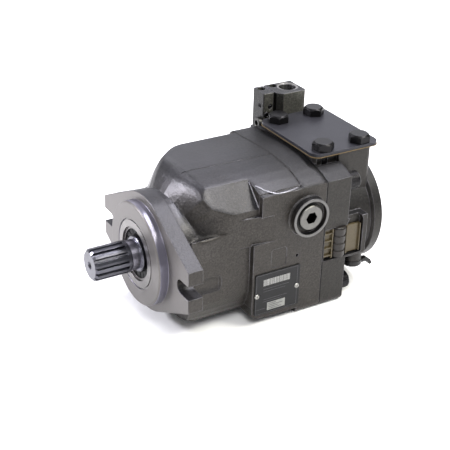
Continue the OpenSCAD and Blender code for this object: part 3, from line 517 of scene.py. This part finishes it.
# one narrow pale stripe after the other, with unequal widths and gaps
STRIPES_X, STRIPES_Z = (9.0, 38.4), (31.4, 38.2)
STRIPE_WIDTHS = (0.7, 1.2, 0.5, 0.9, 1.4, 0.5)
STRIPE_GAPS = (0.35, 0.5, 0.3, 0.42)
bm = bmesh.new()
stripe_at, index = STRIPES_X[0], 0
while stripe_at < STRIPES_X[1]:
    wide = STRIPE_WIDTHS[index % len(STRIPE_WIDTHS)]
    printed(bm, stripe_at, STRIPES_Z[0], stripe_at + wide, STRIPES_Z[1], 0.08)
    stripe_at += wide + STRIPE_GAPS[index % len(STRIPE_GAPS)]
    index += 1
piece("nameplate_stripes", bm, "case", label_white)

LABEL = (14.0, 3.2, 34.4, 11.8)
bm = bmesh.new()
printed(bm, *LABEL, 0.1, 0.12)
piece("nameplate_label", bm, "case", label_grey)

# lines on the label, and thin rules on the plate itself (z, x from, x to)
LINES_FROM, LINE_ENDS = 15.5, (30.5, 26.5, 31.8, 24.0)
LINE_LOW, LINE_HIGH, LINE_PITCH = 4.4, 5.0, 1.9
RULES = ((27.6, 9, 38), (24.8, 9, 34), (16.0, 9, 36), (13.6, 9, 30), (6.0, 1.5, 12.0))
RULE_WIDTH = 0.45
bm = bmesh.new()
for row, end in enumerate(LINE_ENDS):
    up = LINE_PITCH * row
    printed(bm, LINES_FROM, LINE_LOW + up, end, LINE_HIGH + up, 0.14)
for low, left, right in RULES:
    printed(bm, left, low, right, low + RULE_WIDTH, 0.06)
piece("nameplate_lines", bm, "case", line_grey)

BORDER = ((0.9, 0.9, 47.6, 1.3), (0.9, 43.7, 47.6, 44.1), (0.9, 1.3, 1.3, 43.7), (47.2, 1.3, 47.6, 43.7))
bm = bmesh.new()
for sides in BORDER:
    printed(bm, *sides, 0.07)
piece("nameplate_border", bm, "case", line_grey)


# ---- threads: a helical bead inside the top port and round the adjuster screw ----

POINTS_PER_TURN = 28


def helix(start, end, radius, pitch):
    """(along, across, across) from start to end."""
    turns = (end - start) / pitch
    n = int(turns * POINTS_PER_TURN)
    for i in range(n + 1):
        a = TAU * turns * i / n
        yield start + (end - start) * i / n, radius * math.cos(a), radius * math.sin(a)


bm = bmesh.new()
tube(bm, [(PORT_AT[0] + u, PORT_AT[1] + v, z) for z, u, v in helix(94.5, 102.6, 8.9, 1.5)], 0.42, 6)
piece("port_thread", bm, "case", MATERIALS["valve_black"], True)

screw_lo, screw_hi = box_mm("valve_adjuster")
screw_mid = (screw_lo + screw_hi) / 2
PAST_NUT_X = 224.3
bm = bmesh.new()
tube(bm, [(x, screw_mid.y + u, screw_mid.z + v)
          for x, u, v in helix(PAST_NUT_X, screw_hi.x - 1.2, 3.95, 1.0)], 0.26, 6)
piece("adjuster_thread", bm, "case", MATERIALS["spring_steel"], True)


# ---- socket-head screws: the knurl round each head -------------------------------

BLOCK_SCREWS = ((-50, -59.5), (57, -58), (-54, 54), (61, 30))       # y, z
HEAD_RADIUS, RIDGES, RIDGE_END = 8.98, 60, 0.4
head_end = box_mm("block_screws")[1].x
ridge_from, ridge_to = head_end - 13.2, head_end - 2.4
bm = bmesh.new()
for y, z in BLOCK_SCREWS:
    for k in range(RIDGES):
        a = TAU * k / RIDGES
        at = (y + HEAD_RADIUS * math.cos(a), z + HEAD_RADIUS * math.sin(a))
        stations = (ridge_from, ridge_from + RIDGE_END, ridge_to - RIDGE_END, ridge_to)
        tube(bm, [(x, *at) for x in stations], 0.2, 4)
piece("block_screw_knurls", bm, "case", MATERIALS["black_oxide"])


# ---- casting lines: parting line over the dome; bright beads on the near shoulder and the facet's corner, worn edge and painted highlight ----

housing = frame["nodes"]["housing"]


def on_top(x, y):
    """The height of the housing's outside above (x, y), in millimetres."""
    above, down = Vector((x * MM, y * MM, 0.2)), Vector((0, 0, -1))
    _, place, _, _ = housing.ray_cast(above, down)
    return place.z / MM


def parting_y(x):
    return -4.6 - 0.035 * (x - 37)


bm = bmesh.new()
along_crown = [37 + 2.5 * i for i in range(39)]
tube(bm, [(x, parting_y(x), on_top(x, parting_y(x)) - 0.15) for x in along_crown], 0.55, 8)
piece("parting_line", bm, "case", MATERIALS["casting"], True)

# the shoulder over the near side (x, y), a worn edge whose bead is also a painted highlight, and the
# front edge of the bevelled corner (y, z), a concave corner whose bead is a painted highlight only
SHOULDER = ((89.5, -49.0), (91.5, -52.0), (94.5, -56.0), (99.0, -60.0), (103.5, -63.0), (108.0, -64.3),
            (113.0, -64.4), (118.5, -64.0), (124.0, -62.9), (129.5, -61.3))
FACET_EDGE = ((-41.5, 70.5), (-45.0, 67.0), (-50.0, 62.0), (-55.0, 57.0), (-59.5, 52.5))
FACET_EDGE_X = 87.8
EDGE_BEAD = 0.8


def finer(points, parts=4, reach=3):
    """More points along the same line, each height averaged with its neighbours' heights."""
    line = [Vector((x, y, on_top(x, y))) for x, y in points]
    line = [a.lerp(b, k / parts) for a, b in zip(line, line[1:]) for k in range(parts)] + [line[-1]]
    heights = [p.z for p in line]
    for i, p in enumerate(line):
        near = heights[max(0, i - reach):i + reach + 1]
        p.z = sum(near) / len(near)
    return line


# painted highlight: bright beads along the shoulder, where the edge is also worn, and in the facet's
# corner
bm = bmesh.new()
tube(bm, finer(SHOULDER), EDGE_BEAD, 8)
tube(bm, [(FACET_EDGE_X, y - 0.1, z + 0.1) for y, z in FACET_EDGE], EDGE_BEAD, 8)
piece("shoulder_highlight_beads", bm, "case", MATERIALS["worn_and_highlit_edge"], True)


# ---- floor ---------------------------------------------------------------------------

FLOOR_GAP = 0.0002                  # metres, keeps the floor clear of the feet
FLOOR_TONES = (0.93, 0.93, 0.93), (0.95, 0.95, 0.95)

floor_tree = Tree("floor_pale")
floor_tone = floor_tree.mix(floor_tree.span(floor_tree.noise(400, 2.0, 0.5), 0.3, 0.7), *FLOOR_TONES)
floor_tree.put(Base_Color=floor_tone, Roughness=0.85)
bm = bmesh.new()
bmesh.ops.create_grid(bm, x_segments=2, y_segments=2, size=4.0)
floor = add_object("floor", mesh_from("floor", bm, floor_tree.material))
floor.location.z = cad_box[0].z - FLOOR_GAP


# ---- lights, in metres and watts ---------------------------------------------------------

centre = (cad_box[0] + cad_box[1]) / 2


def studio_light(name, direction, distance, size, power, colour=(1.0, 1.0, 1.0)):
    """An area light in this direction from the middle of the object, turned towards it."""
    light = bpy.data.lights.new(name, "AREA")
    light.shape = "RECTANGLE"
    light.size, light.size_y = size
    light.energy, light.color = power, colour
    obj = add_object(name, light)
    obj.location = centre + Vector(direction).normalized() * distance
    obj.rotation_mode = "QUATERNION"
    obj.rotation_quaternion = (centre - obj.location).to_track_quat("-Z", "Y")


studio_light("overhead", (0.42, 0.05, 0.90), 1.3, (0.8, 0.20), 21, (0.95, 0.94, 1.0))
studio_light("dome_streak", (-0.72, 0.50, 0.42), 1.3, (0.24, 0.15), 17, (0.93, 0.92, 1.0))
studio_light("facet", (0.46, -0.47, 0.75), 1.4, (0.42, 0.42), 14, (1.0, 0.98, 0.88))
studio_light("back", (0.46, 0.80, 0.37), 1.5, (1.3, 0.6), 3.5, (0.92, 0.92, 1.0))
studio_light("crown_front", (-0.15, 0.62, 0.78), 1.5, (0.8, 0.6), 6, (0.94, 0.93, 1.0))
studio_light("key", (-0.25, -0.66, 0.80), 1.5, (0.7, 0.5), 14)
studio_light("left", (-1.0, 0.05, 0.35), 1.5, (0.8, 0.8), 2.5, (1.0, 0.97, 0.94))

SKY, SKY_STRENGTH = (0.92, 0.93, 0.97, 1.0), 0.38
world = bpy.data.worlds.new("studio")
world.use_nodes = True
background = next(n for n in world.node_tree.nodes if n.type == "BACKGROUND")
background.inputs["Color"].default_value = SKY
background.inputs["Strength"].default_value = SKY_STRENGTH
bpy.context.scene.world = world
bpy.context.scene.view_settings.view_transform = "Standard"


# ---- camera: the place, axes and lens that fit the photograph best -----------------------

CAMERA_AT = (-0.380, -0.776, 0.4906)
RIGHT = (0.86228918, -0.50587884, 0.02332336)
UP = (0.22084603, 0.41708729, 0.88162647)
BACKWARD = (-0.45572405, -0.75506609, 0.47137118)
SENSOR_WIDTH, LENS = 36, 84.14

camera = add_object("camera", bpy.data.cameras.new("camera"))
camera.data.sensor_width = SENSOR_WIDTH
camera.data.lens = LENS
camera.data.clip_start, camera.data.clip_end = 0.01, 20
camera.matrix_world = Matrix([*zip(RIGHT, UP, BACKWARD, CAMERA_AT), (0, 0, 0, 1)])
bpy.context.scene.camera = camera
